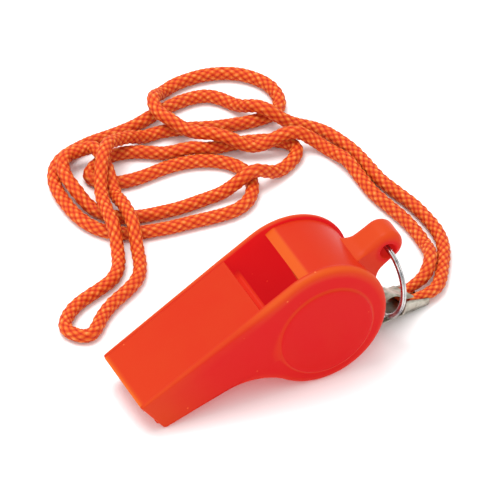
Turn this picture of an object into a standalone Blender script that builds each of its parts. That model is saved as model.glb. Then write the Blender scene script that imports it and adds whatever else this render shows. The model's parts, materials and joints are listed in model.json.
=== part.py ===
# A plastic pea whistle on a split ring, with a crimped ferrule and a doubled cord lanyard.
# The whistle lies on its belly and on the lower edge of its mouthpiece tip, mouthpiece towards
# -X, and the lanyard lies loose on the same surface, which is z = 0.
# Every size here is in millimetres; MM turns them into Blender's metres.

import math

import bmesh
import bpy
import numpy as np

MM = 0.001
ARC_STEP = 7.5                     # degrees between the points of an arc

# The whistle's own frame: u runs back from the tip along the top line, v points up from it.
BODY_WIDTH = 17.0                  # across both side plates at the barrel
TIP_WIDTH = 15.46                  # across both side plates at the tip
PLATE_THICKNESS = 1.5
COVER_GAP = 0.3                    # glue gap between the moulding and the side cover
BELLY_CENTRE = (32.82, -12.48)
BELLY_RADIUS = 12.2
TOP_FALL = 0.49                    # degrees that the top line falls towards the barrel
TIP_BOTTOM = (0.70, -7.73)
UNDERSIDE_SLOPE = -0.2
THROAT_RADIUS = 13.0               # hollow between the mouthpiece's underside and the belly
RIM_HEIGHT = 0.6                   # side plates stand this far outside barrel and underside
BARREL_RADIUS = BELLY_RADIUS - RIM_HEIGHT
BARREL_WALL = 1.5
ROOF_INSET = 0.1
ROOF_THICKNESS = 1.6
MOUTH_HEIGHT = 4.3                 # windway height at the tip
WINDWAY_END = 2.2                  # windway height at the window
WINDOW_START = 26.4
WINDOW_END = 34.8
LIP_BEVEL = 0.8                    # the lip's edge leans back this far below its top
BOSS_CENTRE = (32.62, -13.56)
BOSS_RADIUS = 8.78
BOSS_HEIGHT = 0.35

# The lug behind the barrel, along u, with a round end and a cross hole.
LUG_START = 43.2
LUG_END_CENTRE = (49.77, -13.7)
LUG_RADIUS = 3.05
LUG_THICKNESS = 5.6
LUG_HOLE_CENTRE = (49.3, -14.1)
LUG_HOLE_RADIUS = 1.5

PEA_RADIUS = 4.0
PEA_ORBIT = 5.8                    # the pea's centre from the barrel's centre

# The split ring hangs in the lug's hole, turned a little about its own upright.
RING_RADIUS = 7.5
RING_WIRE_RADIUS = 0.42
RING_RISE = 0.2                    # the wire's top above the hole's axis
RING_HANG = 5.0                    # degrees towards the barrel
RING_TURN = 10.0

# The ferrule: a folded strip with a wide eye round the ring, closed on the two cords.
FERRULE_HEADING = 18.0             # degrees from +X towards +Y
FERRULE_WIDTH = 4.0
EYE_CENTRE = (0.3, 0.2)            # from the ring's lowest wire
EYE_OUTER = 2.4
EYE_INNER = 1.9
EYE_TAIL = (5.4, -1.1)
MOUTH_REACH = 10.8
MOUTH_TOP = 3.35                   # above the surface
MOUTH_BOTTOM = 0.25

# The lanyard cord's route: x, y and its place in the stack where it crosses itself.
CORD_DIAMETER = 2.5
CORD_SPACING = 2.85                # between the middles of crossing cords
CORD_STEP = 1.25
CORD_END_LIFT = 0.6
CORD_LIFT_REACH = 8.0
CORD_POINTS = 88
CORD_ROUTE = [
    (33.1, 2.1, 5), (35.2, 2.8, 5), (39.2, 7.2, 5), (42.5, 14.5, 5), (40.5, 33.5, 5),
    (35.5, 52.0, 5), (29.0, 57.5, 5), (22.5, 68.0, 4), (14.5, 68.0, 3), (3.5, 65.5, 2),
    (-9.0, 63.0, 2), (-12.5, 54.0, 2), (-8.0, 41.0, 2), (4.5, 38.0, 1), (17.0, 39.0, 1),
    (20.0, 45.0, 1), (11.0, 53.0, 1), (-2.5, 53.8, 1), (-5.6, 56.8, 1), (-2.5, 59.9, 1),
    (12.0, 55.5, 2), (28.0, 51.5, 2), (30.5, 48.0, 2), (27.5, 44.5, 2), (19.5, 42.5, 3),
    (9.0, 42.5, 3), (-6.0, 45.0, 3), (-10.0, 53.0, 3), (-6.8, 62.0, 3), (-3.2, 61.5, 5),
    (-3.0, 56.0, 6), (-5.0, 44.0, 7), (-9.5, 29.0, 7), (-20.5, 21.3, 7), (-24.2, 18.6, 7),
    (-26.8, 21.2, 7), (-24.0, 25.5, 8), (-12.5, 31.5, 8), (-9.0, 40.0, 8), (-5.0, 53.5, 8),
    (-1.0, 58.5, 8), (7.0, 62.3, 4), (19.5, 60.0, 4), (33.0, 59.5, 3), (34.3, 64.5, 3),
    (26.0, 73.0, 4), (15.5, 71.8, 5), (11.7, 66.0, 8), (14.5, 59.0, 8), (24.0, 50.5, 8),
    (33.5, 48.0, 8), (37.5, 32.5, 8), (39.2, 14.0, 8), (36.8, 8.0, 8), (34.3, 5.7, 8),
    (32.2, 4.9, 8),
]


# ---------- scene, materials and modelling helpers ----------

def clear_scene():
    for old in list(bpy.data.objects):
        bpy.data.objects.remove(old)


def new_collection(name):
    collection = bpy.data.collections.new(name)
    bpy.context.scene.collection.children.link(collection)
    return collection


def plain_material(name, colour, roughness, metallic=0.0):
    material = bpy.data.materials.new(name)
    material.use_nodes = True
    shader = material.node_tree.nodes["Principled BSDF"]
    shader.inputs["Base Color"].default_value = (*colour, 1.0)
    shader.inputs["Roughness"].default_value = roughness
    shader.inputs["Metallic"].default_value = metallic
    return material


def new_empty(name, location, rotation, collection, parent=None):
    empty = bpy.data.objects.new(name, None)
    empty.location = [c * MM for c in location]
    empty.rotation_euler = rotation
    empty.parent = parent
    collection.objects.link(empty)
    return empty


def mark_cutter(thing):
    thing.hide_render = True
    thing.display_type = "WIRE"


def add_boolean(target, operand, operation):
    modifier = target.modifiers.new(operation.title(), "BOOLEAN")
    modifier.object = operand
    modifier.operation = operation
    modifier.solver = "EXACT"


def shade_round(mesh, angle=40.0):
    mesh.shade_smooth()
    mesh.set_sharp_from_angle(angle=math.radians(angle))


def mesh_from_curve(curve_object, collection):
    # The curve's solid as a mesh in the curve's place, its caps welded on.
    bpy.context.view_layer.update()
    evaluated = curve_object.evaluated_get(bpy.context.evaluated_depsgraph_get())
    mesh = bpy.data.meshes.new_from_object(evaluated)
    shell = bmesh.new()
    shell.from_mesh(mesh)
    bmesh.ops.remove_doubles(shell, verts=shell.verts, dist=0.001 * MM)
    bmesh.ops.recalc_face_normals(shell, faces=shell.faces)
    shell.to_mesh(mesh)
    shell.free()
    name = curve_object.name
    solid = bpy.data.objects.new(name + "_solid", mesh)
    solid.parent = curve_object.parent
    solid.matrix_basis = curve_object.matrix_basis.copy()
    collection.objects.link(solid)
    bpy.data.objects.remove(curve_object)
    solid.name = name
    return solid


def flat_solid(name, rings, thickness, place, rotation, parent, collection):
    # A flat outline, with any holes as further rings, thickened about its own plane.
    curve = bpy.data.curves.new(name, "CURVE")
    curve.dimensions = "2D"
    curve.fill_mode = "BOTH"
    curve.extrude = thickness / 2 * MM
    for ring in rings:
        spline = curve.splines.new("POLY")
        spline.points.add(len(ring) - 1)
        for point, (x, y) in zip(spline.points, ring):
            point.co = (x * MM, y * MM, 0, 1)
        spline.use_cyclic_u = True
    outline = bpy.data.objects.new(name, curve)
    outline.location = [c * MM for c in place]
    outline.rotation_euler = rotation
    outline.parent = parent
    collection.objects.link(outline)
    return mesh_from_curve(outline, collection)


# ---------- plane geometry ----------

def arc(centre, radius, start, end):
    # Points from the start angle to the end angle, in degrees; a rising angle turns left.
    steps = max(2, round(abs(end - start) / ARC_STEP))
    angles = np.radians(np.linspace(start, end, steps + 1))
    return [(centre[0] + radius * math.cos(a), centre[1] + radius * math.sin(a)) for a in angles]


def angle_of(centre, point):
    return math.degrees(math.atan2(point[1] - centre[1], point[0] - centre[0]))


def underside_normal():
    # Straight out of the mouthpiece's flat underside.
    length = math.hypot(1.0, UNDERSIDE_SLOPE)
    return (UNDERSIDE_SLOPE / length, -1.0 / length)


def throat(inset):
    # The hollow between the straight underside and the belly circle, both moved in by inset.
    # Its centre lies below the underside and one radius outside the belly.
    radius = THROAT_RADIUS + inset
    down = underside_normal()
    along = (-down[1], down[0])
    start = (TIP_BOTTOM[0] + THROAT_RADIUS * down[0], TIP_BOTTOM[1] + THROAT_RADIUS * down[1])
    gap = (start[0] - BELLY_CENTRE[0], start[1] - BELLY_CENTRE[1])
    reach = THROAT_RADIUS + BELLY_RADIUS
    half = gap[0] * along[0] + gap[1] * along[1]
    run = -half - math.sqrt(half * half - gap[0] ** 2 - gap[1] ** 2 + reach ** 2)
    centre = (start[0] + run * along[0], start[1] + run * along[1])
    first = angle_of((0, 0), (-down[0], -down[1]))
    last = angle_of(centre, BELLY_CENTRE)
    return arc(centre, radius, first, last)


def belly_join(radius):
    # The angle, seen from the belly's centre, where the throat runs into it.
    return angle_of(BELLY_CENTRE, throat(BELLY_RADIUS - radius)[-1])


def plate_outline():
    top = 90.0 - TOP_FALL
    join = belly_join(BELLY_RADIUS)
    belly = arc(BELLY_CENTRE, BELLY_RADIUS, join, top)[1:]
    return [(0.0, 0.0), TIP_BOTTOM] + throat(0.0) + belly


def barrel_outline():
    # The mouthpiece floor and the barrel wall in one, like a figure six lying down.
    inner = BARREL_RADIUS - BARREL_WALL
    centre_u, centre_v = BELLY_CENTRE
    floor_rise = (MOUTH_HEIGHT - WINDWAY_END) / WINDOW_START
    mouth_floor = (ROOF_INSET, -ROOF_INSET - ROOF_THICKNESS - MOUTH_HEIGHT)
    end_v = mouth_floor[1] + floor_rise * (WINDOW_START + 1.0)
    end_u = centre_u - math.sqrt(inner ** 2 - (end_v - centre_v) ** 2)
    lip_top = math.degrees(math.acos((WINDOW_END - centre_u) / BARREL_RADIUS))
    lip_edge = math.degrees(math.acos((WINDOW_END + LIP_BEVEL - centre_u) / inner))
    floor_end = angle_of(BELLY_CENTRE, (end_u, end_v))
    chamber = arc(BELLY_CENTRE, inner, floor_end, 360.0 + lip_edge)
    outside = arc(BELLY_CENTRE, BARREL_RADIUS, lip_top, belly_join(BARREL_RADIUS))
    hollow = throat(RIM_HEIGHT)[::-1][1:]
    down = underside_normal()
    tip = (TIP_BOTTOM[0] - RIM_HEIGHT * down[0], TIP_BOTTOM[1] - RIM_HEIGHT * down[1])
    return [mouth_floor] + chamber + outside + hollow + [tip]


def roof_outline():
    fall = math.tan(math.radians(TOP_FALL))
    end = WINDOW_START
    top = [(ROOF_INSET, -ROOF_INSET), (end, -ROOF_INSET - fall * end)]
    bottom = [(u, v - ROOF_THICKNESS) for u, v in top[::-1]]
    return top + bottom


def lug_outlines():
    centre_u, centre_v = LUG_END_CENTRE
    end = arc(LUG_END_CENTRE, LUG_RADIUS, -90.0, 90.0)
    body = [(LUG_START, centre_v - LUG_RADIUS)] + end + [(LUG_START, centre_v + LUG_RADIUS)]
    return [body, arc(LUG_HOLE_CENTRE, LUG_HOLE_RADIUS, 0.0, 360.0)[:-1]]


# ---------- the whistle's stance ----------

def whistle_tilt():
    # The belly circle and the tip's lower corner both touch the surface.
    run = BELLY_CENTRE[0] - TIP_BOTTOM[0]
    rise = BELLY_CENTRE[1] - TIP_BOTTOM[1]
    return math.asin(BELLY_RADIUS / math.hypot(run, rise)) - math.atan2(rise, run)


def tip_place(tilt):
    # The tip's top corner: its lower corner is on the surface, and the origin is half-way along.
    height = -(TIP_BOTTOM[0] * math.sin(tilt) + TIP_BOTTOM[1] * math.cos(tilt))
    lug_u, lug_v = LUG_END_CENTRE
    length = lug_u * math.cos(tilt) - lug_v * math.sin(tilt) + LUG_RADIUS
    return (-length / 2, 0.0, height)


def to_world(point, tilt):
    tip = tip_place(tilt)
    u, v = point
    x = tip[0] + u * math.cos(tilt) - v * math.sin(tilt)
    z = tip[2] + u * math.sin(tilt) + v * math.cos(tilt)
    return (x, 0.0, z)


# ---------- the pieces ----------

FACING_SIDE = (math.pi / 2, 0.0, 0.0)     # a flat outline's x and y become the frame's u and v


def side_boss(name, side, stance, cutters):
    depth = BOSS_HEIGHT + PLATE_THICKNESS / 2
    bpy.ops.mesh.primitive_cylinder_add(vertices=64, radius=BOSS_RADIUS * MM, depth=depth * MM)
    boss = bpy.context.object
    boss.name = name
    boss.parent = stance
    middle = side * (BODY_WIDTH / 2 + BOSS_HEIGHT - depth / 2)
    boss.location = (BOSS_CENTRE[0] * MM, middle * MM, BOSS_CENTRE[1] * MM)
    boss.rotation_euler = FACING_SIDE
    for collection in list(boss.users_collection):
        collection.objects.unlink(boss)
    cutters.objects.link(boss)
    mark_cutter(boss)
    return boss


def tip_taper(name, side, stance, cutters):
    # A wedge that narrows the plate's outer face from the window to the tip.
    slope = (BODY_WIDTH - TIP_WIDTH) / 2 / WINDOW_START
    past = 2.0
    outer = BODY_WIDTH / 2 + 4.0
    front = (-past, side * (TIP_WIDTH / 2 - slope * past))
    back = (WINDOW_START + past, side * (BODY_WIDTH / 2 + slope * past))
    ring = [front, back, (back[0], side * outer), (front[0], side * outer)]
    wedge = flat_solid(name, [ring], 40.0, (0.0, 0.0, -10.0), (0.0, 0.0, 0.0), stance, cutters)
    mark_cutter(wedge)
    return wedge


def side_plate(name, side, stance, parts, cutters):
    middle = side * (BODY_WIDTH - PLATE_THICKNESS) / 2
    place = (0.0, middle, 0.0)
    plate = flat_solid(name, [plate_outline()], PLATE_THICKNESS, place, FACING_SIDE, stance, parts)
    add_boolean(plate, side_boss(name + "_boss", side, stance, cutters), "UNION")
    return plate


def make_whistle_body(stance, material, parts, cutters):
    # One moulding: the near plate, barrel, mouthpiece floor and roof, and the lug.
    body = side_plate("whistle_body", -1, stance, parts, cutters)
    overlap = 0.2
    low = -BODY_WIDTH / 2 + PLATE_THICKNESS - overlap
    high = BODY_WIDTH / 2 - PLATE_THICKNESS - COVER_GAP
    middle = (0.0, (low + high) / 2, 0.0)
    barrel = flat_solid("barrel", [barrel_outline()], high - low, middle, FACING_SIDE, stance, cutters)
    roof = flat_solid("roof", [roof_outline()], high - low, middle, FACING_SIDE, stance, cutters)
    lug = flat_solid("lug", lug_outlines(), LUG_THICKNESS, (0.0, 0.0, 0.0), FACING_SIDE, stance, cutters)
    for piece in (barrel, roof, lug):
        mark_cutter(piece)
        add_boolean(body, piece, "UNION")
    add_boolean(body, tip_taper("near_taper", -1, stance, cutters), "DIFFERENCE")
    body.data.materials.append(material)
    return body


def make_side_cover(stance, material, parts, cutters):
    cover = side_plate("side_cover", 1, stance, parts, cutters)
    add_boolean(cover, tip_taper("far_taper", 1, stance, cutters), "DIFFERENCE")
    cover.data.materials.append(material)
    return cover


def make_pea(tilt, material, parts):
    # The pea's parent empty is on the barrel's axis, which it rolls round.
    pivot = new_empty("pea_pivot", to_world(BELLY_CENTRE, tilt), (0.0, 0.0, 0.0), parts)
    mesh = bpy.data.meshes.new("pea")
    ball = bmesh.new()
    bmesh.ops.create_uvsphere(ball, u_segments=20, v_segments=12, radius=PEA_RADIUS * MM)
    ball.to_mesh(mesh)
    ball.free()
    shade_round(mesh)
    pea = bpy.data.objects.new("pea", mesh)
    pea.parent = pivot
    pea.location = (0.0, 0.0, -PEA_ORBIT * MM)
    pea.data.materials.append(material)
    parts.objects.link(pea)
    return pea


def make_split_ring(tilt, material, parts):
    # The ring's parent empty is on the lug hole's axis, tipped by the ring's hang.
    hang = (0.0, math.radians(RING_HANG), 0.0)
    pivot = new_empty("ring_pivot", to_world(LUG_HOLE_CENTRE, tilt), hang, parts)
    bpy.ops.mesh.primitive_torus_add(
        major_segments=48, minor_segments=8,
        major_radius=RING_RADIUS * MM, minor_radius=RING_WIRE_RADIUS * MM)
    ring = bpy.context.object
    ring.name = "split_ring"
    ring.parent = pivot
    ring.location = (0.0, 0.0, (RING_RISE - RING_RADIUS) * MM)
    ring.rotation_euler = (0.0, math.pi / 2, math.radians(RING_TURN))
    for collection in list(ring.users_collection):
        collection.objects.unlink(ring)
    parts.objects.link(ring)
    shade_round(ring.data)
    ring.data.materials.append(material)
    return ring


def ring_bottom(tilt):
    hole = to_world(LUG_HOLE_CENTRE, tilt)
    drop = 2 * RING_RADIUS - RING_RISE
    hang = math.radians(RING_HANG)
    return (hole[0] - drop * math.sin(hang), 0.0, hole[2] - drop * math.cos(hang))


def tangent_angles(centre, radius, top, bottom):
    # Where lines from the top and bottom points touch the circle, in degrees.
    upper = math.degrees(math.acos(radius / math.dist(centre, top)))
    lower = math.degrees(math.acos(radius / math.dist(centre, bottom)))
    return angle_of(centre, top) + upper, angle_of(centre, bottom) - lower + 360.0


def make_ferrule(tilt, material, parts):
    # The ferrule's parent empty is on the ring's lowest wire, which it turns on.
    place = ring_bottom(tilt)
    heading = (0.0, 0.0, math.radians(FERRULE_HEADING))
    pivot = new_empty("ferrule_pivot", place, heading, parts)
    top = (MOUTH_REACH, MOUTH_TOP - place[2])
    bottom = (MOUTH_REACH, MOUTH_BOTTOM - place[2])
    outside = arc(EYE_CENTRE, EYE_OUTER, *tangent_angles(EYE_CENTRE, EYE_OUTER, top, bottom))
    eye = arc(EYE_CENTRE, EYE_INNER, *tangent_angles(EYE_CENTRE, EYE_INNER, EYE_TAIL, EYE_TAIL))
    rings = [outside + [bottom, top], eye + [EYE_TAIL]]
    ferrule = flat_solid("cord_ferrule", rings, FERRULE_WIDTH, (0.0, 0.0, 0.0), FACING_SIDE, pivot, parts)
    ferrule.data.materials.append(material)
    return ferrule


# ---------- the cord ----------

def natural_spline(knots, values, places):
    # A natural cubic through the values at the knots, read at the places.
    gap = np.diff(knots)
    count = len(knots)
    system = np.eye(count)
    right = np.zeros_like(values)
    for i in range(1, count - 1):
        system[i, i - 1:i + 2] = (gap[i - 1] / 6, (gap[i - 1] + gap[i]) / 3, gap[i] / 6)
        right[i] = (values[i + 1] - values[i]) / gap[i] - (values[i] - values[i - 1]) / gap[i - 1]
    bend = np.linalg.solve(system, right)
    cell = np.clip(np.searchsorted(knots, places) - 1, 0, count - 2)
    width = gap[cell][:, None]
    ahead = knots[cell + 1][:, None] - places[:, None]
    behind = places[:, None] - knots[cell][:, None]
    curve = (bend[cell] * ahead ** 3 + bend[cell + 1] * behind ** 3) / (6 * width)
    curve += (values[cell] / width - bend[cell] * width / 6) * ahead
    curve += (values[cell + 1] / width - bend[cell + 1] * width / 6) * behind
    return curve


def even_steps(points, step):
    # The same line read again at equal steps of length along its first two columns.
    runs = np.linalg.norm(np.diff(points[:, :2], axis=0), axis=1)
    length = np.concatenate([[0.0], np.cumsum(runs)])
    places = np.linspace(0.0, length[-1], int(length[-1] / step) + 1)
    return places, np.stack([np.interp(places, length, column) for column in points.T], axis=1)


def settle_heights(along, route):
    # The cord lies as low as the surface and the cords below it allow, in long low humps.
    radius = CORD_DIAMETER / 2
    loops_apart = 9.0
    rounds = 600
    contact_rounds = 3
    sinking = 0.01
    apart = np.linalg.norm(route[:, None, :2] - route[None, :, :2], axis=2)
    far_along = np.abs(along[:, None] - along[None]) > loops_apart
    above = (apart < CORD_SPACING) & far_along & (route[:, None, 2] > route[None, :, 2])
    upper, lower = np.where(above)
    needed = np.sqrt(CORD_SPACING ** 2 - apart[upper, lower] ** 2)
    to_end = np.minimum(along, along[-1] - along)
    lowest = radius + CORD_END_LIFT * np.clip(1 - to_end / CORD_LIFT_REACH, 0, 1) ** 2
    height = lowest.copy()
    for _ in range(rounds):
        near = np.pad(height, 2, mode="edge")
        fair = (-near[:-4] + 4 * near[1:-3] + 4 * near[3:-1] - near[4:]) / 6
        height = np.maximum((height + fair) / 2 - sinking, lowest)
        for _ in range(contact_rounds):
            short = np.maximum(needed - (height[upper] - height[lower]), 0) / 2
            rise = np.zeros_like(height)
            drop = np.zeros_like(height)
            np.maximum.at(rise, upper, short)
            np.maximum.at(drop, lower, short)
            height = np.maximum(height + rise - drop, lowest)
    return height


def cord_line():
    # The cord's smooth centreline, x, y and z in millimetres.
    route = np.array(CORD_ROUTE)
    runs = np.linalg.norm(np.diff(route[:, :2], axis=0), axis=1)
    knots = np.concatenate([[0.0], np.cumsum(runs)])
    fine = natural_spline(knots, route, np.linspace(0.0, knots[-1], 3000))
    along, even = even_steps(fine, CORD_STEP)
    even[:, 2] = settle_heights(along, even)
    return even


def tube_points(line):
    # Fewer points for the plain tube, closer together where it bends.
    step_length = 10.0
    step_turn = math.radians(50.0)
    legs = np.diff(line, axis=0)
    lengths = np.linalg.norm(legs, axis=1)
    heading = legs / lengths[:, None]
    turns = np.arccos(np.clip((heading[1:] * heading[:-1]).sum(axis=1), -1, 1))
    weight = lengths / step_length
    weight[1:] += turns / step_turn
    places = np.concatenate([[0.0], np.cumsum(weight)])
    wanted = np.linspace(0.0, places[-1], CORD_POINTS)
    return np.stack([np.interp(wanted, places, column) for column in line.T], axis=1)


def make_cord(material, parts):
    curve = bpy.data.curves.new("lanyard_cord", "CURVE")
    curve.dimensions = "3D"
    curve.bevel_depth = CORD_DIAMETER / 2 * MM
    curve.bevel_resolution = 2
    curve.use_fill_caps = True
    points = tube_points(cord_line()) * MM
    spline = curve.splines.new("POLY")
    spline.points.add(len(points) - 1)
    spline.points.foreach_set("co", np.c_[points, np.ones(len(points))].ravel())
    cord = bpy.data.objects.new("lanyard_cord", curve)
    parts.objects.link(cord)
    cord = mesh_from_curve(cord, parts)
    shade_round(cord.data)
    cord.data.materials.append(material)
    return cord


# ---------- the whole object ----------

def build():
    clear_scene()
    parts = new_collection("pea_whistle_with_lanyard")
    cutters = new_collection("cutters")
    plastic = plain_material("whistle_plastic", (0.85, 0.06, 0.02), 0.35)
    cork = plain_material("pea_cork", (0.55, 0.36, 0.20), 0.8)
    steel = plain_material("ring_steel", (0.72, 0.71, 0.69), 0.2, 1.0)
    nickel = plain_material("ferrule_nickel", (0.62, 0.59, 0.53), 0.35, 1.0)
    braid = plain_material("cord_braid", (0.90, 0.22, 0.05), 0.6)
    tilt = whistle_tilt()
    stance = new_empty("whistle_stance", tip_place(tilt), (0.0, -tilt, 0.0), parts)
    make_whistle_body(stance, plastic, parts, cutters)
    make_side_cover(stance, plastic, parts, cutters)
    make_pea(tilt, cork, parts)
    make_split_ring(tilt, steel, parts)
    make_ferrule(tilt, nickel, parts)
    make_cord(braid, parts)


build()
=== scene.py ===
import json
import math
import bpy
import numpy as np
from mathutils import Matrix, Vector


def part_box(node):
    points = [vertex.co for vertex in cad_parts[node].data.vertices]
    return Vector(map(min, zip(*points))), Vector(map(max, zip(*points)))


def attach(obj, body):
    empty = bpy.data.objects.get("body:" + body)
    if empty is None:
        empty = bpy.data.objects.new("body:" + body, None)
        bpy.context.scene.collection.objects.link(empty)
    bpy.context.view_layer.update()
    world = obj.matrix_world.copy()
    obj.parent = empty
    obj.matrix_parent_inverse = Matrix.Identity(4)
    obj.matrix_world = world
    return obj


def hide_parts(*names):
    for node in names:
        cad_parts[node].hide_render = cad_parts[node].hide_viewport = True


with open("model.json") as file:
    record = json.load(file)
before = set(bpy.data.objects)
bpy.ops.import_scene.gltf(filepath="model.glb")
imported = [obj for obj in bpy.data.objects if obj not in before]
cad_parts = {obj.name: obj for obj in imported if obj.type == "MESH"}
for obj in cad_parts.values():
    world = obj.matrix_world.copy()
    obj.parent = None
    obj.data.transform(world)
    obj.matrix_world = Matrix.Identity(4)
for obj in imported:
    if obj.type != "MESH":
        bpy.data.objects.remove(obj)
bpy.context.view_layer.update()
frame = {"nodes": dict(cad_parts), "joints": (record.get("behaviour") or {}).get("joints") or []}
mm = 0.001
jointPlace = {j["name"]: np.array(j["pos_m"]) for j in frame["joints"]}
print("frame loaded:", sorted(frame["nodes"]))


# camera first: a long lens from the front left, above the whistle

camera = {
    "azimuth": -26.14, "elevation": 40.79, "distance": 1.491, "lens": 628.6,
    "aim": (-0.00193, 0.0, 0.02688),
}


def placeCamera():
    turn, lift = math.radians(camera["azimuth"]), math.radians(camera["elevation"])
    back = Vector((math.sin(turn) * math.cos(lift), -math.cos(turn) * math.cos(lift), math.sin(lift)))
    data = bpy.data.cameras.new("camera")
    data.sensor_width = 36.0
    data.lens = camera["lens"]
    rig = bpy.data.objects.new("camera", data)
    rig.location = Vector(camera["aim"]) + back * camera["distance"]
    rig.rotation_euler = (-back).to_track_quat("-Z", "Y").to_euler()
    bpy.context.scene.collection.objects.link(rig)
    bpy.context.scene.camera = rig


placeCamera()


# shader maths: an expression on values adds its own nodes

class Value:
    def __init__(self, finish, socket):
        self.finish, self.socket = finish, socket

    def maths(self, operation, first, second):
        return self.finish.node("ShaderNodeMath", {"operation": operation}, {0: first, 1: second})

    def __add__(self, other):
        return self.maths("ADD", self, other)

    def __radd__(self, other):
        return self.maths("ADD", other, self)

    def __sub__(self, other):
        return self.maths("SUBTRACT", self, other)

    def __rsub__(self, other):
        return self.maths("SUBTRACT", other, self)

    def __mul__(self, other):
        return self.maths("MULTIPLY", self, other)

    def __rmul__(self, other):
        return self.maths("MULTIPLY", other, self)

    def within(self, low, high):
        # 0 below low, 1 above high, smooth between
        settings = {"interpolation_type": "SMOOTHSTEP"}
        return self.finish.node("ShaderNodeMapRange", settings, {0: self, 1: low, 2: high})


class Finish:
    # one material; node() is the only way that nodes are added
    def __init__(self, name):
        self.material = bpy.data.materials.new(name)
        self.material.use_nodes = True
        self.tree = self.material.node_tree
        self.shader = self.tree.nodes["Principled BSDF"]

    def node(self, kind, settings=None, inputs=None, output=0):
        made = self.tree.nodes.new(kind)
        for key, setting in (settings or {}).items():
            if key == "stops":
                self.setStops(made.color_ramp, setting)
            else:
                setattr(made, key, setting)
        for key, value in (inputs or {}).items():
            self.feed(made.inputs[key], value)
        return Value(self, made.outputs[output])

    def setStops(self, ramp, stops):
        while len(ramp.elements) < len(stops):
            ramp.elements.new(1.0)
        for element, (place, colour) in zip(ramp.elements, stops):
            element.position = place
            element.color = (*colour, 1.0)

    def feed(self, socket, value):
        if isinstance(value, Value):
            self.tree.links.new(value.socket, socket)
        elif isinstance(value, tuple) and len(value) == 3 and socket.type == "RGBA":
            socket.default_value = (*value, 1.0)
        else:
            socket.default_value = value

    def set(self, **inputs):
        for key, value in inputs.items():
            self.feed(self.shader.inputs[key.replace("_", " ")], value)

    def place(self, scale=(1, 1, 1)):
        where = self.node("ShaderNodeTexCoord", output=3)
        return self.node("ShaderNodeMapping", {"vector_type": "POINT"}, {"Vector": where, "Scale": scale})

    def noise(self, vector, scale, detail):
        return self.node("ShaderNodeTexNoise", None, {"Vector": vector, "Scale": scale, "Detail": detail})

    def mix(self, factor, first, second):
        return self.node("ShaderNodeMix", {"data_type": "RGBA"}, {0: factor, 6: first, 7: second}, 2)

    def attribute(self, name):
        return self.node("ShaderNodeAttribute", {"attribute_name": name}, None, 2)

    def bump(self, height, strength, distance):
        inputs = {"Height": height, "Strength": strength, "Distance": distance}
        return self.node("ShaderNodeBump", None, inputs)


# mesh helpers

def resample(points, count):
    # the same closed line read again at equal steps of its length
    points = np.vstack([points, points[:1]])
    runs = np.linalg.norm(np.diff(points, axis=0), axis=1)
    length = np.concatenate([[0.0], np.cumsum(runs)])
    places = np.linspace(0.0, length[-1], count + 1)[:-1]
    return np.stack([np.interp(places, length, column) for column in points.T], axis=1)


def softenCorners(points, reach):
    # a running mean round a closed line; reach is in points each way
    wrapped = np.vstack([points[-reach:], points, points[:reach]])
    kernel = np.ones(2 * reach + 1) / (2 * reach + 1)
    return np.stack([np.convolve(column, kernel, "valid") for column in wrapped.T], axis=1)


def outwardNormals(points):
    # for a closed line that turns left
    along = np.roll(points, -1, axis=0) - np.roll(points, 1, axis=0)
    along /= np.linalg.norm(along, axis=1)[:, None]
    return np.stack([along[:, 1], -along[:, 0]], axis=1)


def arc(centre, radius, start, end, count):
    angles = np.radians(np.linspace(start, end, count))
    return np.stack([centre[0] + radius * np.cos(angles), centre[1] + radius * np.sin(angles)], axis=1)


def smooth(x):
    x = np.clip(x, 0.0, 1.0)
    return x * x * (3 - 2 * x)


def gridFaces(rows, columns, closeRows=False):
    # quads between neighbouring rows; every row is a closed ring
    last = rows if closeRows else rows - 1
    i, j = np.meshgrid(np.arange(last), np.arange(columns), indexing="ij")
    k, l = (i + 1) % rows, (j + 1) % columns
    quads = np.stack([i * columns + j, i * columns + l, k * columns + l, k * columns + j], axis=-1)
    return quads.reshape(-1, 4)


def surface(name, rings, closeRows=False, flip=False, values=None):
    # rings is (row, column, xyz) in metres; open ends close to a middle point; flip turns faces round
    rows, columns = rings.shape[:2]
    points = rings.reshape(-1, 3)
    order = slice(None, None, -1 if flip else 1)
    faces = gridFaces(rows, columns, closeRows)[:, order].tolist()
    if not closeRows:
        ends = np.stack([rings[0].mean(axis=0), rings[-1].mean(axis=0)])
        points = np.vstack([points, ends])
        first, last = rows * columns, rows * columns + 1
        j = np.arange(columns)
        k, start = (j + 1) % columns, (rows - 1) * columns
        faces += np.stack([np.full(columns, first), k, j], axis=1)[:, order].tolist()
        faces += np.stack([np.full(columns, last), start + j, start + k], axis=1)[:, order].tolist()
    mesh = bpy.data.meshes.new(name)
    mesh.from_pydata(points.tolist(), [], faces)
    mesh.validate()
    for key, field in (values or {}).items():
        data = np.concatenate([field.ravel(), [field[0].mean(), field[-1].mean()]])[:len(points)]
        mesh.attributes.new(key, "FLOAT", "POINT").data.foreach_set("value", data.astype(np.float32))
    mesh.shade_smooth()
    piece = bpy.data.objects.new(name, mesh)
    bpy.context.scene.collection.objects.link(piece)
    return piece


def carried(path, sideways, upward, across):
    # a profile carried along a path: across is (row, column, 2) in the sideways and upward directions
    return (path[:, None] + across[..., :1] * sideways[:, None] + across[..., 1:] * upward[:, None])


def finishPiece(piece, body, slot, finish, *nodes):
    piece.data.materials.append(finish.material)
    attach(piece, body)
    if nodes:
        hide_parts(*nodes)
    return piece


# finishes

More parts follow.
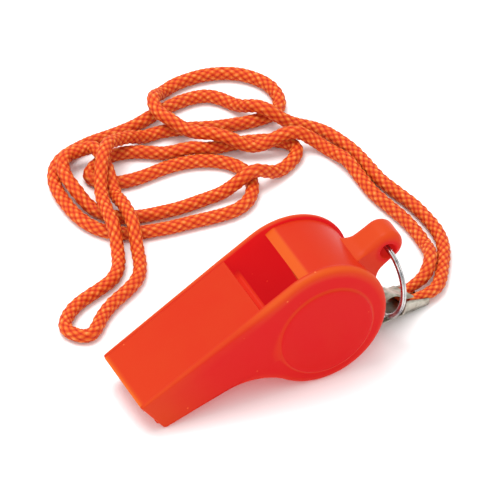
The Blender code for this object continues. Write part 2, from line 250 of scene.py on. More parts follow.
plastic = {
    # orange is the painted lit colour for faces that look up, red the painted shaded colour for faces that
    # look sideways
    "orange": (0.27, 0.022, 0.0008), "red": (0.29, 0.001, 0.001), "roughness": 0.34,
    # the colour for edges is a paler painted highlight
    "specks": (0.55, 0.17, 0.05), "grain": 180.0, "fineGrain": 2600.0, "edgeHighlight": (0.36, 0.085, 0.008),
    # the glow colours are painted light: the plastic glows though it is no lamp
    "glow": (0.62, 0.009, 0.011), "innerGlow": (0.82, 0.014, 0.019), "tipGlow": (0.66, 0.035, 0.012),
    "edgeGlow": (0.70, 0.09, 0.012), "glowStrength": 0.55, "specular": 0.09,
}


def plasticFinish():
    # fluorescent moulded plastic with painted light: faces that look up are painted a lit orange, faces that
    # look sideways a shaded red;
    # edges get a paler painted highlight and the part glows a little as painted light; fine orange-peel bump
    # and a few lighter moulding specks
    made = Finish("orangePlastic")
    where = made.place()
    drift = made.noise(where, plastic["grain"], 3.0)
    fine = made.noise(where, plastic["fineGrain"], 2.0)
    facing = made.node("ShaderNodeSeparateXYZ", None,
                       {0: made.node("ShaderNodeNewGeometry", None, None, 1)}, 2)
    dots = made.node("ShaderNodeTexVoronoi", {"feature": "F1"}, {"Vector": where, "Scale": 420.0})
    sparse = made.noise(where, 700.0, 0.0)
    speck = (1 - dots.within(0.03, 0.10)) * sparse.within(0.60, 0.66)
    # painted light: faces that look up get more of the lit orange, sideways faces more of the shaded red
    upward = facing.within(0.05, 0.85)
    # painted light: the sides near the mouth are also painted the lighter lit orange
    toTip = made.attribute("tip") * 0.75
    # painted light from facing up and from nearness to the mouth, with a share of random grain
    litAndGrain = upward * 0.85 + (1 - upward) * toTip + drift.within(0.3, 0.75) * 0.15
    base = made.mix(litAndGrain, plastic["red"], plastic["orange"])
    # painted highlight: edges are mixed towards the paler colour
    edged = made.mix(made.attribute("edge") * 0.9, base, plastic["edgeHighlight"])
    colour = made.mix(speck * 0.7, edged, plastic["specks"])
    # painted light: the plastic glows, and inner faces glow brighter, standing in for light through the
    # walls
    lit = made.mix(made.attribute("inner"), plastic["glow"], plastic["innerGlow"])
    # painted light: the glow is more orange near the mouth
    tipLit = made.mix(toTip, lit, plastic["tipGlow"])
    # painted highlight: edges also glow paler
    glow = made.mix(made.attribute("edge") * 0.8, tipLit, plastic["edgeGlow"])
    bump = made.bump(fine * 0.5 + drift * 0.5, 0.16, 0.00010)
    made.set(Base_Color=colour, Roughness=plastic["roughness"] + drift * 0.08 + fine * 0.05, Normal=bump)
    made.set(Specular_IOR_Level=plastic["specular"])
    made.set(Emission_Color=glow, Emission_Strength=plastic["glowStrength"])
    return made


def corkFinish():
    # cork: brown and tan mottle, with small raised cells
    made = Finish("peaCork")
    where = made.place()
    cells = made.node("ShaderNodeTexVoronoi", {"feature": "F1"}, {"Vector": where, "Scale": 900.0})
    mottle = made.noise(where, 500.0, 4.0)
    colour = made.mix(mottle.within(0.35, 0.7), (0.60, 0.38, 0.20), (0.28, 0.15, 0.07))
    made.set(Base_Color=colour, Roughness=0.75 + mottle * 0.15)
    made.set(Normal=made.bump(cells + mottle, 0.5, 0.0002))
    return made


def metalFinish(name, bright, dull, roughness, streaks):
    # plated metal: drawn streaks along the wire or strip, small dull patches
    made = Finish(name)
    where = made.place(scale=streaks)
    lines = made.noise(where, 900.0, 3.0)
    patches = made.noise(made.place(), 500.0, 3.0)
    tint = made.mix(patches.within(0.40, 0.72), bright, dull)
    rough = roughness + lines * 0.12 + patches.within(0.5, 0.8) * 0.14
    made.set(Base_Color=tint, Metallic=1.0, Roughness=rough)
    made.set(Normal=made.bump(lines, 0.15, 0.00006))
    return made


def braidFinish():
    # a braid of flat filament strands: painted shade makes the gaps deep red and a painted highlight makes
    # the strand crowns pale; fine fibres along each strand
    made = Finish("orangeBraid")
    lift, across, run = made.attribute("lift"), made.attribute("across"), made.attribute("run")
    fibreWhere = made.node("ShaderNodeCombineXYZ", None, {0: across * 9.0, 1: run * 0.9})
    fibres = made.noise(fibreWhere, 3.0, 2.0)
    drift = made.noise(made.place(), 120.0, 2.0)
    # the ramp runs from painted shade in the low gaps to a painted highlight on the high crowns
    stops = [(0.0, (0.22, 0.002, 0.002)), (0.36, (0.48, 0.014, 0.003)), (0.60, (0.58, 0.062, 0.004)),
             (0.82, (0.66, 0.15, 0.018)), (1.0, (0.82, 0.34, 0.10))]
    height = lift * 1.05 + fibres * 0.46 - 0.32
    colour = made.node("ShaderNodeValToRGB", {"stops": stops}, {0: height})
    # random patches of a duller orange, a tone of the cord itself
    mottled = made.mix(drift.within(0.35, 0.8) * 0.22, colour, (0.58, 0.045, 0.004))
    made.set(Base_Color=mottled, Roughness=0.52 + fibres * 0.15)
    made.set(Normal=made.bump(fibres, 0.5, 0.00010))
    made.set(Specular_IOR_Level=0.2)
    return made


finishes = {
    "plastic": plasticFinish(),
    "cork": corkFinish(),
    "steel": metalFinish("ringSteel", (0.58, 0.57, 0.56), (0.24, 0.24, 0.26), 0.16, (1, 1, 1)),
    "nickel": metalFinish("ferruleNickel", (0.50, 0.47, 0.40), (0.24, 0.215, 0.16), 0.26, (1, 6, 6)),
    "braid": braidFinish(),
}
print("finishes made:", len(finishes))


# the cord

cord = {
    "diameter": 0.0025, "step": 0.00125, "spacing": 0.00285, "endLift": 0.0006, "endReach": 0.008,
    "inFerrule": [(0.0070, 0.00108, 0.00246), (0.0091, 0.00122, 0.00210)],
    "ringStep": 0.00027, "around": 40, "strands": 6, "pitch": 0.0018,
    "relief": 0.00040, "plump": 0.00004, "squeeze": 0.18, "squeezeFrom": 0.003, "squeezeOver": 0.006,
    "unevenness": 0.00010, "sways": (0.0023, 0.0041), "ownReach": 0.009,
    "settleRounds": 600, "contactRounds": 3, "sinking": 0.00001, "routeSamples": 3000,
    "route": [
        (0.0331, 0.0021, 5), (0.0352, 0.0028, 5), (0.0392, 0.0072, 5), (0.0425, 0.0145, 5),
        (0.0405, 0.0335, 5), (0.0355, 0.0520, 5), (0.0290, 0.0575, 5), (0.0225, 0.0680, 4),
        (0.0145, 0.0680, 3), (0.0035, 0.0655, 2), (-0.0090, 0.0630, 2), (-0.0125, 0.0540, 2),
        (-0.0080, 0.0410, 2), (0.0045, 0.0380, 1), (0.0170, 0.0390, 1), (0.0200, 0.0450, 1),
        (0.0110, 0.0530, 1), (-0.0025, 0.0538, 1), (-0.0056, 0.0568, 1), (-0.0025, 0.0599, 1),
        (0.0120, 0.0555, 2), (0.0280, 0.0515, 2), (0.0305, 0.0480, 2), (0.0275, 0.0445, 2),
        (0.0195, 0.0425, 3), (0.0090, 0.0425, 3), (-0.0060, 0.0450, 3), (-0.0100, 0.0530, 3),
        (-0.0068, 0.0620, 3), (-0.0032, 0.0615, 5), (-0.0030, 0.0560, 6), (-0.0050, 0.0440, 7),
        (-0.0095, 0.0290, 7), (-0.0205, 0.0213, 7), (-0.0242, 0.0186, 7), (-0.0268, 0.0212, 7),
        (-0.0240, 0.0255, 8), (-0.0125, 0.0315, 8), (-0.0090, 0.0400, 8), (-0.0050, 0.0535, 8),
        (-0.0010, 0.0585, 8), (0.0070, 0.0623, 4), (0.0195, 0.0600, 4), (0.0330, 0.0595, 3),
        (0.0343, 0.0645, 3), (0.0260, 0.0730, 4), (0.0155, 0.0718, 5), (0.0117, 0.0660, 8),
        (0.0145, 0.0590, 8), (0.0240, 0.0505, 8), (0.0335, 0.0480, 8), (0.0375, 0.0325, 8),
        (0.0392, 0.0140, 8), (0.0368, 0.0080, 8), (0.0343, 0.0057, 8), (0.0322, 0.0049, 8),
    ],
}


def naturalSpline(knots, values, places):
    # a natural cubic through the values at the knots, read at the places
    gap = np.diff(knots)
    count = len(knots)
    system = np.eye(count)
    right = np.zeros_like(values)
    for i in range(1, count - 1):
        system[i, i - 1:i + 2] = (gap[i - 1] / 6, (gap[i - 1] + gap[i]) / 3, gap[i] / 6)
        right[i] = (values[i + 1] - values[i]) / gap[i] - (values[i] - values[i - 1]) / gap[i - 1]
    bend = np.linalg.solve(system, right)
    cell = np.clip(np.searchsorted(knots, places) - 1, 0, count - 2)
    width = gap[cell][:, None]
    ahead = knots[cell + 1][:, None] - places[:, None]
    behind = places[:, None] - knots[cell][:, None]
    curve = (bend[cell] * ahead ** 3 + bend[cell + 1] * behind ** 3) / (6 * width)
    curve += (values[cell] / width - bend[cell] * width / 6) * ahead
    return curve + (values[cell + 1] / width - bend[cell + 1] * width / 6) * behind


def settleHeights(along, route):
    # the cord lies as low as the surface and the cords below it allow, in long low humps
    apart = np.linalg.norm(route[:, None, :2] - route[None, :, :2], axis=2)
    farAlong = np.abs(along[:, None] - along[None]) > cord["ownReach"]
    above = (apart < cord["spacing"]) & farAlong & (route[:, None, 2] > route[None, :, 2])
    upper, lower = np.where(above)
    needed = np.sqrt(cord["spacing"] ** 2 - apart[upper, lower] ** 2)
    toEnd = np.minimum(along, along[-1] - along)
    endRise = cord["endLift"] * np.clip(1 - toEnd / cord["endReach"], 0, 1) ** 2
    lowest = cord["diameter"] / 2 + cord["plump"] + endRise
    height = lowest.copy()
    for _ in range(cord["settleRounds"]):
        near = np.pad(height, 2, mode="edge")
        fair = (-near[:-4] + 4 * near[1:-3] + 4 * near[3:-1] - near[4:]) / 6
        height = np.maximum((height + fair) / 2 - cord["sinking"], lowest)
        for _ in range(cord["contactRounds"]):
            short = np.maximum(needed - (height[upper] - height[lower]), 0) / 2
            rise, drop = np.zeros_like(height), np.zeros_like(height)
            np.maximum.at(rise, upper, short)
            np.maximum.at(drop, lower, short)
            height = np.maximum(height + rise - drop, lowest)
    return height


def cordLine():
    # the lying route at even steps, with its settled heights
    route = np.array(cord["route"])
    runs = np.linalg.norm(np.diff(route[:, :2], axis=0), axis=1)
    knots = np.concatenate([[0.0], np.cumsum(runs)])
    fine = naturalSpline(knots, route, np.linspace(0.0, knots[-1], cord["routeSamples"]))
    flat = np.concatenate([[0.0], np.cumsum(np.linalg.norm(np.diff(fine[:, :2], axis=0), axis=1))])
    along = np.linspace(0.0, flat[-1], int(flat[-1] / cord["step"]) + 1)
    even = np.stack([np.interp(along, flat, column) for column in fine.T], axis=1)
    even[:, 2] = settleHeights(along, even)
    return even


def steadyFrames(path):
    # the two directions across the path, one of them level, so that they don't twist round it
    along = np.gradient(path, axis=0)
    along /= np.linalg.norm(along, axis=1)[:, None]
    side = np.cross(along, (0.0, 0.0, 1.0))
    side /= np.linalg.norm(side, axis=1)[:, None]
    return side, np.cross(side, along)


def braidRelief(turn, length):
    # two families of strands wind opposite ways and pass over and under each other; the higher one shows
    first = cord["strands"] * turn + length / cord["pitch"]
    second = cord["strands"] * turn - length / cord["pitch"]
    fields = []
    for mine, other, sign in ((first, second, 1), (second, first, -1)):
        number = np.floor(mine)
        across = mine - number - 0.5
        weave = np.cos(np.pi * (other + number + 0.5)) * sign
        crown = np.sqrt(np.clip(1 - (2 * across) ** 2, 0, 1))
        uneven = 0.06 * np.sin(2.7 * number + 0.9 * other)
        fields.append((crown * (0.60 + 0.34 * weave + uneven), across, other))
    showsFirst = fields[0][0] > fields[1][0]
    return tuple(np.where(showsFirst, one, two) for one, two in zip(*fields))


def fromFerrule(run, across, rise):
    # metres along the ferrule, to its left and up, counted from below its pivot
    angle = math.radians(ferruleHeading)
    heading = np.array([math.cos(angle), math.sin(angle), 0.0])
    left = np.array([-heading[1], heading[0], 0.0])
    foot = jointPlace["ferrule_turn"] * (1, 1, 0)
    upright = np.array([0.0, 0.0, 1.0])
    return foot + run[..., None] * heading + across[..., None] * left + rise[..., None] * upright


def makeCord(finish):
    line = cordLine()
    inside = np.array(cord["inFerrule"])
    first = fromFerrule(inside[:, 0], -inside[:, 1], inside[:, 2])
    last = fromFerrule(inside[:, 0], inside[:, 1], inside[:, 2])
    whole = np.vstack([first, line[1:-1], last[::-1]])
    runs = np.concatenate([[0.0], np.cumsum(np.linalg.norm(np.diff(whole, axis=0), axis=1))])
    rows = int(runs[-1] / cord["ringStep"])
    places = np.linspace(0.0, runs[-1], rows)
    path = naturalSpline(runs, whole, places)
    side, up = steadyFrames(path)
    turn = np.linspace(0, 1, cord["around"], endpoint=False)[None]
    length = places[:, None]
    lift, across, run = braidRelief(turn + 0 * length, length + 0 * turn)
    quick, slow = cord["sways"]
    sway = cord["unevenness"] * (np.sin(places / quick) + np.sin(places / slow + 1.3))
    path = path + side * sway[:, None]
    toEnd = np.minimum(places, runs[-1] - places)[:, None]
    slim = 1 - cord["squeeze"] * (1 - smooth((toEnd - cord["squeezeFrom"]) / cord["squeezeOver"]))
    radius = (cord["diameter"] / 2 + cord["plump"] - cord["relief"] * (1 - lift)) * slim
    ring = np.stack([np.cos(2 * np.pi * turn) * radius, np.sin(2 * np.pi * turn) * radius], axis=-1)
    piece = surface("lanyardCord", carried(path, side, up, ring), flip=True,
                    values={"lift": lift, "across": across, "run": run})
    finishPiece(piece, "lanyard", "cord_braid", finish, "lanyard_cord")
    return piece, path, runs[-1]


ferruleHeading = 18.0
cordPiece, cordPath, cordLength = makeCord(finishes["braid"])
print("cord made, mm long:", round(cordLength / mm, 1))


# the whistle's own frame: u back from the tip along the top line, v up from it, in mm

whistle = {
    "halfWidth": 8.5, "tipNarrowing": 0.77, "plate": 1.5, "inner": 7.0, "seam": 0.03,
    "belly": (32.82, -12.48), "bellyRadius": 12.2, "topFall": 0.49, "tipBottom": (0.70, -7.73),
    "slope": -0.2, "throat": 13.0, "rim": 0.6, "wall": 1.5, "roof": 1.6, "mouth": 4.3, "windway": 2.2,
    "windowStart": 26.4, "windowEnd": 34.8, "boss": (32.62, -13.56), "bossRadius": 8.78,
    "bossHeight": 0.35, "rimRound": 1.1, "hole": (49.3, -14.1), "lipBevel": 1.7, "lipDrop": 0.5,
    "innerRound": 0.2, "thinnestRim": 0.35, "bossEdge": 0.3, "tipReach": 17.0, "lipHone": 0.6,
    "lipHighlight": 0.65, "floorLow": -7.05, "floorFillet": 0.45, "floorRound": 0.12,
    "roofLow": -7.2, "roofRound": 0.15,
    # how strong the painted highlight is over the rim, row by row
    "rimHighlight": [0.1, 0.2, 0.3, 0.5, 0.6, 0.6, 0.5, 0.42, 0.34, 0.28, 0.22, 0.16, 0.08],
}
bellyPlace, holePlace = jointPlace["pea_orbit"], jointPlace["ring_swing"]
tilt = (math.atan2(holePlace[2] - bellyPlace[2], holePlace[0] - bellyPlace[0])
        - math.atan2(whistle["hole"][1] - whistle["belly"][1], whistle["hole"][0] - whistle["belly"][0]))


def stand(u, across, v):
    # the whistle's own u, y and v in mm to the standing whistle in metres
    du, dv = (u - whistle["belly"][0]) * mm, (v - whistle["belly"][1]) * mm
    x = bellyPlace[0] + du * math.cos(tilt) - dv * math.sin(tilt)
    z = bellyPlace[2] + du * math.sin(tilt) + dv * math.cos(tilt)
    return np.stack(np.broadcast_arrays(x, across * mm, z), axis=-1)


def throatArc(inset, count):
    # the hollow under the mouthpiece: below the flat underside, one radius outside the belly
    length = math.hypot(1.0, whistle["slope"])
    down = np.array([whistle["slope"], -1.0]) / length
    along = np.array([1.0, whistle["slope"]]) / length
    start = np.array(whistle["tipBottom"]) + whistle["throat"] * down
    gap = start - whistle["belly"]
    half = gap @ along
    run = -half - math.sqrt(half ** 2 - gap @ gap + (whistle["throat"] + whistle["bellyRadius"]) ** 2)
    centre = start + run * along
    first = math.degrees(math.atan2(-down[1], -down[0]))
    toBelly = np.array(whistle["belly"]) - centre
    last = math.degrees(math.atan2(toBelly[1], toBelly[0]))
    return arc(centre, whistle["throat"] + inset, first, last, count), last - 180.0, down


def plateOutline(count):
    hollow, join, _ = throatArc(0.0, 60)
    belly = arc(whistle["belly"], whistle["bellyRadius"], join, 90.0 - whistle["topFall"], 240)[1:]
    rough = np.vstack([[(0.0, 0.0)], [whistle["tipBottom"]], hollow, belly])
    return softenCorners(resample(rough, count), 3)


def taper(u):
    return whistle["tipNarrowing"] * np.clip(1 - u / whistle["windowStart"], 0, 1.1)


def nearTip(u):
    # 1 at the mouth, falling to 0 a third of the way back; it places the painted light near the mouth
    return smooth(1 - u / whistle["tipReach"])


def plateSurface(name, side):
    # rows run from the middle of the inner face, round the rim, to the middle of the raised boss
    outline = plateOutline(720)
    normal = outwardNormals(outline)
    boss = np.array(whistle["boss"])
    ray = outline - boss
    ray /= np.linalg.norm(ray, axis=1)[:, None]
    rows, across = [], []
    thickness = whistle["plate"] - taper(outline[:, 0])
    outer = whistle["halfWidth"] - taper(outline[:, 0] + 0.3)
    innerRound, bossEdge = whistle["innerRound"], whistle["bossEdge"]
    innerRim = outline - innerRound * normal
    for share in np.linspace(0.02, 1.0, 6):
        rows.append(boss + (innerRim - boss) * share)
        across.append(np.full(len(outline), whistle["inner"]))
    for turn in np.radians([30, 60, 90]):
        rows.append(outline - innerRound * (1 - math.sin(turn)) * normal)
        across.append(np.full(len(outline), whistle["inner"] + innerRound * (1 - math.cos(turn))))
    rounding = np.minimum(whistle["rimRound"], (thickness - whistle["thinnestRim"]) * 0.95)
    for share in (0.35, 0.7):
        rows.append(outline)
        low = whistle["inner"] + innerRound
        across.append(low + (outer - rounding - low) * share)
    for turn in np.radians(np.linspace(0, 90, 8)):
        rows.append(outline - rounding[:, None] * (1 - math.cos(turn)) * normal)
        across.append(outer - rounding * (1 - math.sin(turn)))
    rim = rows[-1]
    edge = boss + ray * (whistle["bossRadius"] + bossEdge)
    for share in np.linspace(0, 1, 16)[1:]:
        row = rim + (edge - rim) * share
        rows.append(row)
        across.append(whistle["halfWidth"] - taper(row[:, 0]))
    for share in np.linspace(0, 1, 9)[1:]:
        rows.append(boss + ray * (whistle["bossRadius"] + bossEdge - 2 * bossEdge * share))
        across.append(np.full(len(outline), whistle["halfWidth"] + whistle["bossHeight"] * smooth(share)))
    for share in np.linspace(1, 0.02, 14)[1:]:
        rows.append(boss + ray * (whistle["bossRadius"] - bossEdge) * share)
        across.append(np.full(len(outline), whistle["halfWidth"] + whistle["bossHeight"]))
    rows, across = np.array(rows), np.array(across)
    edge = np.zeros(rows.shape[:2])
    # rows 9 to 21 go over the rim on to the flat, and rows 33 to 37 are the foot of the boss; both get a
    # painted highlight
    edge[9:22] = np.array(whistle["rimHighlight"])[:, None]
    # the painted highlight is weaker on the near plate, away from the belly
    least = 0.25 if side < 0 else 0.85
    belly = smooth((rows[..., 0] - 20) / 10) * smooth((rows[..., 1] + 20) / 14)
    edge = edge * (least + (0.85 - least) * belly)
    edge[33:38] += 0.16
    # the inner face gets the brighter painted glow
    inner = np.broadcast_to((np.arange(len(rows)) < 7)[:, None], edge.shape) * 1.0
    return surface(name, stand(rows[..., 0], side * across, rows[..., 1]), flip=side > 0,
                   values={"edge": edge, "inner": inner, "tip": nearTip(rows[..., 0])})


def ribbonSurface(name, outside, inside, low, high, fillet, endRound, highlightShare, flip=False):
    # a wall between two lines of the side view, carried across the whistle; its ends are rounded
    outside, inside = roundedEnds(outside, inside, endRound)
    # the given share is a painted highlight along the outside of the wall
    highlightShare = np.pad(highlightShare, 4, mode="edge")
    spread = outside - inside
    spread /= np.maximum(np.linalg.norm(spread, axis=1), 1e-6)[:, None]
    rows = np.concatenate([low + np.array([0.0, 0.12, 0.28, 0.5, 0.8]),
                           np.linspace(low + 1.4, high - 0.6, 12),
                           high - np.array([0.3, 0.1, 0.04, 0.0])])
    rise = fillet * np.clip(1 - (rows - low) / 0.8, 0, 1) ** 2
    rise -= 0.04 * np.clip(1 - (high - rows) / 0.12, 0, 1) ** 2
    ringRows, ringAcross = [], []
    for lineRise, across in zip(rise, rows):
        ringRows.append(outside + spread * lineRise)
        ringAcross.append(across)
    for across in np.linspace(high, low, 8):
        ringRows.append(inside)
        ringAcross.append(across)
    plane = np.array(ringRows).transpose(1, 0, 2)
    across = np.broadcast_to(np.array(ringAcross)[None], plane.shape[:2])
    onOutside = np.arange(plane.shape[1]) < len(rows)
    # the inside wall gets the brighter painted glow
    inner = np.broadcast_to(~onOutside[None], across.shape) * 1.0
    return surface(name, stand(plane[..., 0], across, plane[..., 1]), flip=flip,
                   values={"edge": highlightShare[:, None] * onOutside[None], "inner": inner,
                           "tip": nearTip(plane[..., 0])})


def roundedEnds(outside, inside, radius):
    # extra stations past each end, drawn in along a quarter circle
    for end in (0, -1):
        step = 1 if end == 0 else -2
        middle = (outside[end] + inside[end]) / 2
        past = middle - (outside[step] + inside[step]) / 2
        past /= np.linalg.norm(past)
        half = np.linalg.norm(outside[end] - inside[end]) / 2
        turns = np.radians([25, 50, 70, 88])
        outs = np.array([outside[end] + (middle - outside[end]) * radius * (1 - math.cos(t)) / half
                         + past * radius * math.sin(t) for t in turns])
        ins = np.array([inside[end] + (middle - inside[end]) * radius * (1 - math.cos(t)) / half
                        + past * radius * math.sin(t) for t in turns])
        if end == 0:
            outside, inside = np.vstack([outs[::-1], outside]), np.vstack([ins[::-1], inside])
        else:
            outside, inside = np.vstack([outside, outs]), np.vstack([inside, ins])
    return outside, inside


def barrelLines():
    # outside and inside of the floor and barrel wall, from the mouth round to the lip
    belly, radius = np.array(whistle["belly"]), whistle["bellyRadius"] - whistle["rim"]
    inner = radius - whistle["wall"]
    hollow, join, down = throatArc(whistle["rim"], 50)
    tip = np.array(whistle["tipBottom"]) - whistle["rim"] * down + (0.1, 0)
    floor = np.array([0.30, -whistle["roof"] - whistle["mouth"]])
    endV = -whistle["roof"] - whistle["windway"] - 0.2
    endU = belly[0] - math.sqrt(inner ** 2 - (endV - belly[1]) ** 2)
    floorEnd = math.degrees(math.atan2(endV - belly[1], endU - belly[0]))
    flat = np.linspace(0, 1, 40)[:-1, None]
    outsideA = tip + (hollow[0] - tip) * flat
    insideA = floor + (np.array([endU, endV]) - floor) * flat
    insideB = arc(belly, inner, floorEnd, join + 360.0, 50)
    lipOut = math.degrees(math.acos((whistle["windowEnd"] + 0.15 - belly[0]) / radius))
    lipIn = math.degrees(math.acos((whistle["windowEnd"] + 0.45 - belly[0]) / inner))
    count = 260
    angles = np.linspace(join, lipOut, count)
    fromLip = np.radians(lipOut - angles) * radius
    bevel = whistle["lipDrop"] * np.clip(1 - fromLip / whistle["lipBevel"], 0, 1)
    turn = np.radians(angles)
    outsideC = belly + (radius - bevel)[:, None] * np.stack([np.cos(turn), np.sin(turn)], axis=1)
    turn = np.radians(np.linspace(join, lipIn, count))
    hone = whistle["lipHone"] * np.clip(1 - fromLip / 1.6, 0, 1) ** 1.5
    insideC = belly + (inner + hone)[:, None] * np.stack([np.cos(turn), np.sin(turn)], axis=1)
    outside = np.vstack([outsideA, hollow[:-1], outsideC])
    inside = np.vstack([insideA, insideB[:-1], insideC])
    # painted highlight along the bevelled lip
    highlightShare = np.zeros(len(outside))
    highlightShare[-count:] = whistle["lipHighlight"] * smooth((whistle["lipBevel"] + 0.5 - fromLip) / 0.8)
    return outside, inside, highlightShare


def roofLines():
    fall = math.tan(math.radians(whistle["topFall"]))
    u = np.linspace(0.15, whistle["windowStart"] - 0.15, 60)
    top = np.stack([u, -fall * u - 0.02], axis=1)
    under = np.stack([u, -fall * u - whistle["roof"]], axis=1)
    return under, top


lug = {
    "start": 43.3, "end": (49.77, -13.7), "radius": 2.95, "half": 2.8, "round": 1.25,
    "holeRadius": 1.5, "holeRound": 0.25, "flareFrom": 46.4, "flareOver": 2.6, "flareBy": 0.8,
    "widenBy": 0.35, "points": 260,
}


def lugSurface(name):
    # rings round the hole's axis: hole wall, side face, rounded edge, rim, and back on the other side
    endU, endV = lug["end"]
    hole = np.array(whistle["hole"])
    cap = arc(lug["end"], lug["radius"], -90, 90, 80)
    back = np.linspace(endU, lug["start"], 30)[1:]
    grow = lug["flareBy"] * np.clip((lug["flareFrom"] - back) / lug["flareOver"], 0, 1) ** 2
    upper = np.stack([back, endV + lug["radius"] + grow], axis=1)
    lower = np.stack([back, endV - lug["radius"] - grow], axis=1)[::-1]
    outline = resample(np.vstack([lower, cap, upper]), lug["points"])
    ray = outline - hole
    distance = np.linalg.norm(ray, axis=1)
    ray /= distance[:, None]
    rounding, half = lug["round"], lug["half"]
    holeRound = lug["holeRound"]
    holeRows = [(lug["holeRadius"] + holeRound * (1 - math.cos(t)), half - holeRound * (1 - math.sin(t)))
                for t in np.radians(np.linspace(0, 90, 5))]
    rows, across = [], []
    for reach, height in [(lug["holeRadius"], 0.0), (lug["holeRadius"], half * 0.6)] + holeRows:
        rows.append(hole + ray * reach)
        across.append(np.full(len(outline), height))
    for share in np.linspace(0, 1, 8)[1:]:
        inner, outer = lug["holeRadius"] + holeRound, distance - rounding
        rows.append(hole + ray * (inner + (outer - inner) * share)[:, None])
        across.append(np.full(len(outline), half))
    for turn in np.radians(np.linspace(0, 90, 9)[1:]):
        rows.append(hole + ray * (distance - rounding * (1 - math.sin(turn)))[:, None])
        across.append(np.full(len(outline), half - rounding * (1 - math.cos(turn))))
    rows, across = np.array(rows), np.array(across)
    rows = np.concatenate([rows, rows[:0:-1]])
    reach = np.linalg.norm(rows - hole, axis=2)
    across = np.concatenate([across, -across[:0:-1]])
    grow = 1 + lug["widenBy"] * np.clip((lug["flareFrom"] - rows[..., 0]) / lug["flareOver"], 0, 1) ** 2
    # painted highlight round the lug's outer edge
    edge = 0.25 * smooth((reach - 0.6 * lug["radius"]) / 1.0)
    rings = stand(rows[..., 0], across * grow, rows[..., 1])
    return surface(name, rings, closeRows=True, values={"edge": edge})


def makeWhistle(finish):
    near = plateSurface("nearPlate", -1)
    finishPiece(near, "whistle", "whistle_plastic", finish, "whistle_body")
    cover = plateSurface("sideCover", 1)
    finishPiece(cover, "whistle", "whistle_plastic", finish, "side_cover")
    outside, inside, highlightShare = barrelLines()
    high = whistle["inner"] - whistle["seam"]
    barrel = ribbonSurface("barrelAndFloor", outside, inside, whistle["floorLow"], high,
                           whistle["floorFillet"], whistle["floorRound"], highlightShare)
    finishPiece(barrel, "whistle", "whistle_plastic", finish)
    under, top = roofLines()
    # painted highlight on the roof's end at the mouth
    tipEdge = smooth(1 - np.arange(len(top)) / 1.5)
    roof = ribbonSurface("mouthpieceRoof", top, under, whistle["roofLow"], high,
                         0.0, whistle["roofRound"], tipEdge, flip=True)
    finishPiece(roof, "whistle", "whistle_plastic", finish)
    finishPiece(lugSurface("rearLug"), "whistle", "whistle_plastic", finish)


makeWhistle(finishes["plastic"])
print("whistle made")


def makePea(finish):
    # a ball with a slightly uneven skin: radius is the CAD pea's, less a few low waves
    low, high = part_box("pea")
    centre = (np.array(low) + np.array(high)) / 2
    radius = (high[0] - low[0]) / 2
    rise = np.radians(np.linspace(-89, 89, 60))[:, None]
    turn = np.radians(np.linspace(0, 360, 90, endpoint=False))[None]
    dents = 0.006 * (np.sin(7 * turn + 3 * rise) * np.cos(5 * rise) + np.sin(11 * rise + 4 * turn) - 2)
    reach = radius * (1 + dents)
    ball = np.stack([np.cos(rise) * np.cos(turn) * reach, np.cos(rise) * np.sin(turn) * reach,
                     np.sin(rise) * reach], axis=-1)
    piece = surface("corkPea", centre + ball)
    finishPiece(piece, "pea", "pea_cork", finish, "pea")


makePea(finishes["cork"])

ring = {
    "radius": 7.5, "turn": 10.0, "radial": 0.42, "axial": 0.215, "shift": 0.44, "ends": 152.0,
    "crossing": 26.0, "sweep": 716.0, "stations": 560, "square": 0.7, "endSlim": 0.35, "endReach": 0.05,
}


def makeRing(finish):
    # two turns of flat-sided wire side by side; the wire steps across where the two ends meet it
    bottom = jointPlace["ferrule_turn"]
    upright = holePlace - bottom
    upright /= np.linalg.norm(upright)
    hang = math.atan2(upright[0], upright[2])
    yaw = math.radians(ring["turn"])
    flat = np.array([-math.sin(yaw) * math.cos(hang), math.cos(yaw), math.sin(yaw) * math.sin(hang)])
    axis = np.cross(flat, upright)
    centre = bottom + upright * ring["radius"] * mm
    swept = np.radians(np.linspace(0.0, ring["sweep"], ring["stations"]))
    place = swept + math.radians(ring["ends"])
    middle, width = 2 * math.pi - math.radians(2.0), math.radians(ring["crossing"])
    shift = ring["shift"] * (smooth((swept - middle) / width + 0.5) - 0.5)
    outward = np.cos(place)[:, None] * upright - np.sin(place)[:, None] * flat
    path = centre + outward * ring["radius"] * mm + shift[:, None] * mm * axis
    loop = np.linspace(0, 2 * math.pi, 20, endpoint=False)
    wide = np.sign(np.cos(loop)) * np.abs(np.cos(loop)) ** ring["square"]
    high = np.sign(np.sin(loop)) * np.abs(np.sin(loop)) ** ring["square"]
    toEnd = np.minimum(swept, swept[-1] - swept)
    slim = (ring["endSlim"] + (1 - ring["endSlim"]) * smooth(toEnd / ring["endReach"]))[:, None]
    section = np.stack([slim * wide * ring["radial"], slim * high * ring["axial"]], axis=-1) * mm
    sideways = np.broadcast_to(axis, outward.shape)
    piece = surface("splitRing", carried(path, outward, sideways, section), flip=True)
    finishPiece(piece, "ring", "ring_steel", finish, "split_ring")


makeRing(finishes["steel"])

ferrule = {
    "sheet": 0.40, "eyeWidth": 4.2, "mouthWidth": 5.2, "roll": 0.14, "wallFrom": 4.9, "wallTop": (4.1, 1.75),
    "path": [(7.3, 3.95), (5.6, 4.55), (4.0, 5.95), (1.7, 6.95), (-0.4, 6.55),
             (-1.75, 5.0), (-1.6, 3.3), (-0.2, 2.4), (2.5, 1.95), (4.8, 1.45), (7.8, 0.95), (10.9, 0.50)],
}


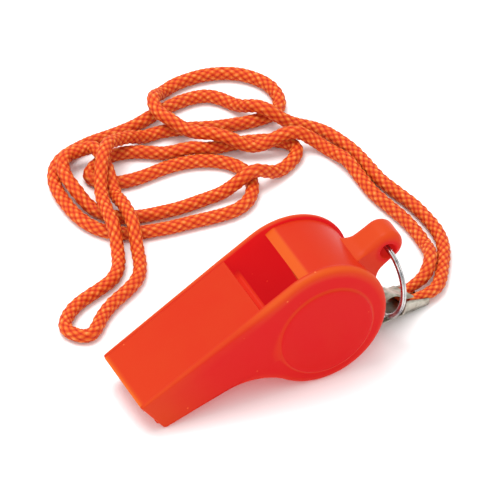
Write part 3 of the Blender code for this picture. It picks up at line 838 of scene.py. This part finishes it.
def makeFerrule(finish):
    # a strip folded round the ring; its lower leg is a channel whose sides hold the cords
    points = np.array(ferrule["path"])
    knots = np.concatenate([[0.0], np.cumsum(np.linalg.norm(np.diff(points, axis=0), axis=1))])
    line = naturalSpline(knots, points, np.linspace(0, knots[-1], 180))
    along = np.gradient(line, axis=0)
    along /= np.linalg.norm(along, axis=1)[:, None]
    lowerLeg = np.arange(len(line)) > len(line) * 0.5
    forward = np.where(lowerLeg, smooth((line[:, 0] - ferrule["wallFrom"]) / 0.5), 0.0)
    topAt = np.interp(line[:, 0], (ferrule["wallFrom"], 10.9), ferrule["wallTop"])
    wall = 0.06 + forward * np.maximum(topAt - line[:, 1], 0.06)
    reach = np.interp(line[:, 0], (3.0, 10.0), (ferrule["eyeWidth"], ferrule["mouthWidth"])) / 2
    inward = np.stack([-along[:, 1], along[:, 0]], axis=1)
    flatN = np.linspace(-1, 1, 9)
    rings = []
    for offset in (-0.5, 0.5):
        skin = ferrule["sheet"] * offset
        edge = reach - skin
        n = [-edge + 0 * wall, -edge + 0 * wall, -edge + 0 * wall]
        h = [wall, wall * 0.66, wall * 0.33]
        n += [(edge - 0.25) * x for x in flatN]
        h += [skin + 0 * wall for _ in flatN]
        n += [edge + 0 * wall, edge + 0 * wall, edge + 0 * wall]
        h += [wall * 0.33, wall * 0.66, wall]
        rings.append((np.array(n).T, np.array(h).T))
    across = np.concatenate([rings[0][0], rings[1][0][:, ::-1]], axis=1)
    height = np.concatenate([rings[0][1], rings[1][1][:, ::-1]], axis=1)
    level = line[:, None, :] + inward[:, None, :] * height[..., None]
    topLeg = 1 - smooth((np.arange(len(line)) / len(line) - 0.20) / 0.15)
    level[..., 1] -= ferrule["roll"] * across * topLeg[:, None]
    piece = surface("cordFerrule", fromFerrule(level[..., 0] * mm, across * mm, level[..., 1] * mm))
    return finishPiece(piece, "lanyard", "ferrule_nickel", finish, "cord_ferrule")


ferrulePiece = makeFerrule(finishes["nickel"])
print("ring, ferrule and pea made")


# floor and light

def makeFloor():
    made = Finish("paleFloor")
    cloud = made.noise(made.place(), 3.0, 2.0)
    made.set(Base_Color=made.mix(cloud * 0.3, (0.93, 0.93, 0.93), (0.90, 0.90, 0.895)), Roughness=0.8)
    mesh = bpy.data.meshes.new("floor")
    half = 4.0
    corners = [(-half, -half, 0), (half, -half, 0), (half, half, 0), (-half, half, 0)]
    mesh.from_pydata(corners, [], [(0, 1, 2, 3)])
    mesh.materials.append(made.material)
    floor = bpy.data.objects.new("floor", mesh)
    bpy.context.scene.collection.objects.link(floor)


def addLight(name, place, size, power):
    data = bpy.data.lights.new(name, "AREA")
    data.shape = "DISK"
    data.size = size
    data.energy = power
    lamp = bpy.data.objects.new(name, data)
    lamp.location = place
    lamp.rotation_euler = (Vector((0, 0.02, 0.01)) - Vector(place)).to_track_quat("-Z", "Y").to_euler()
    bpy.context.scene.collection.objects.link(lamp)


def lightScene():
    world = bpy.data.worlds.new("studio")
    world.use_nodes = True
    world.node_tree.nodes["Background"].inputs[0].default_value = (1.0, 1.0, 1.0, 1.0)
    world.node_tree.nodes["Background"].inputs[1].default_value = 1.0
    bpy.context.scene.world = world
    addLight("overhead", (-0.10, 0.20, 0.80), 0.55, 5.2)
    addLight("front", (-0.55, -0.60, 0.45), 0.40, 1.6)
    bpy.context.scene.view_settings.view_transform = "Standard"


makeFloor()
lightScene()
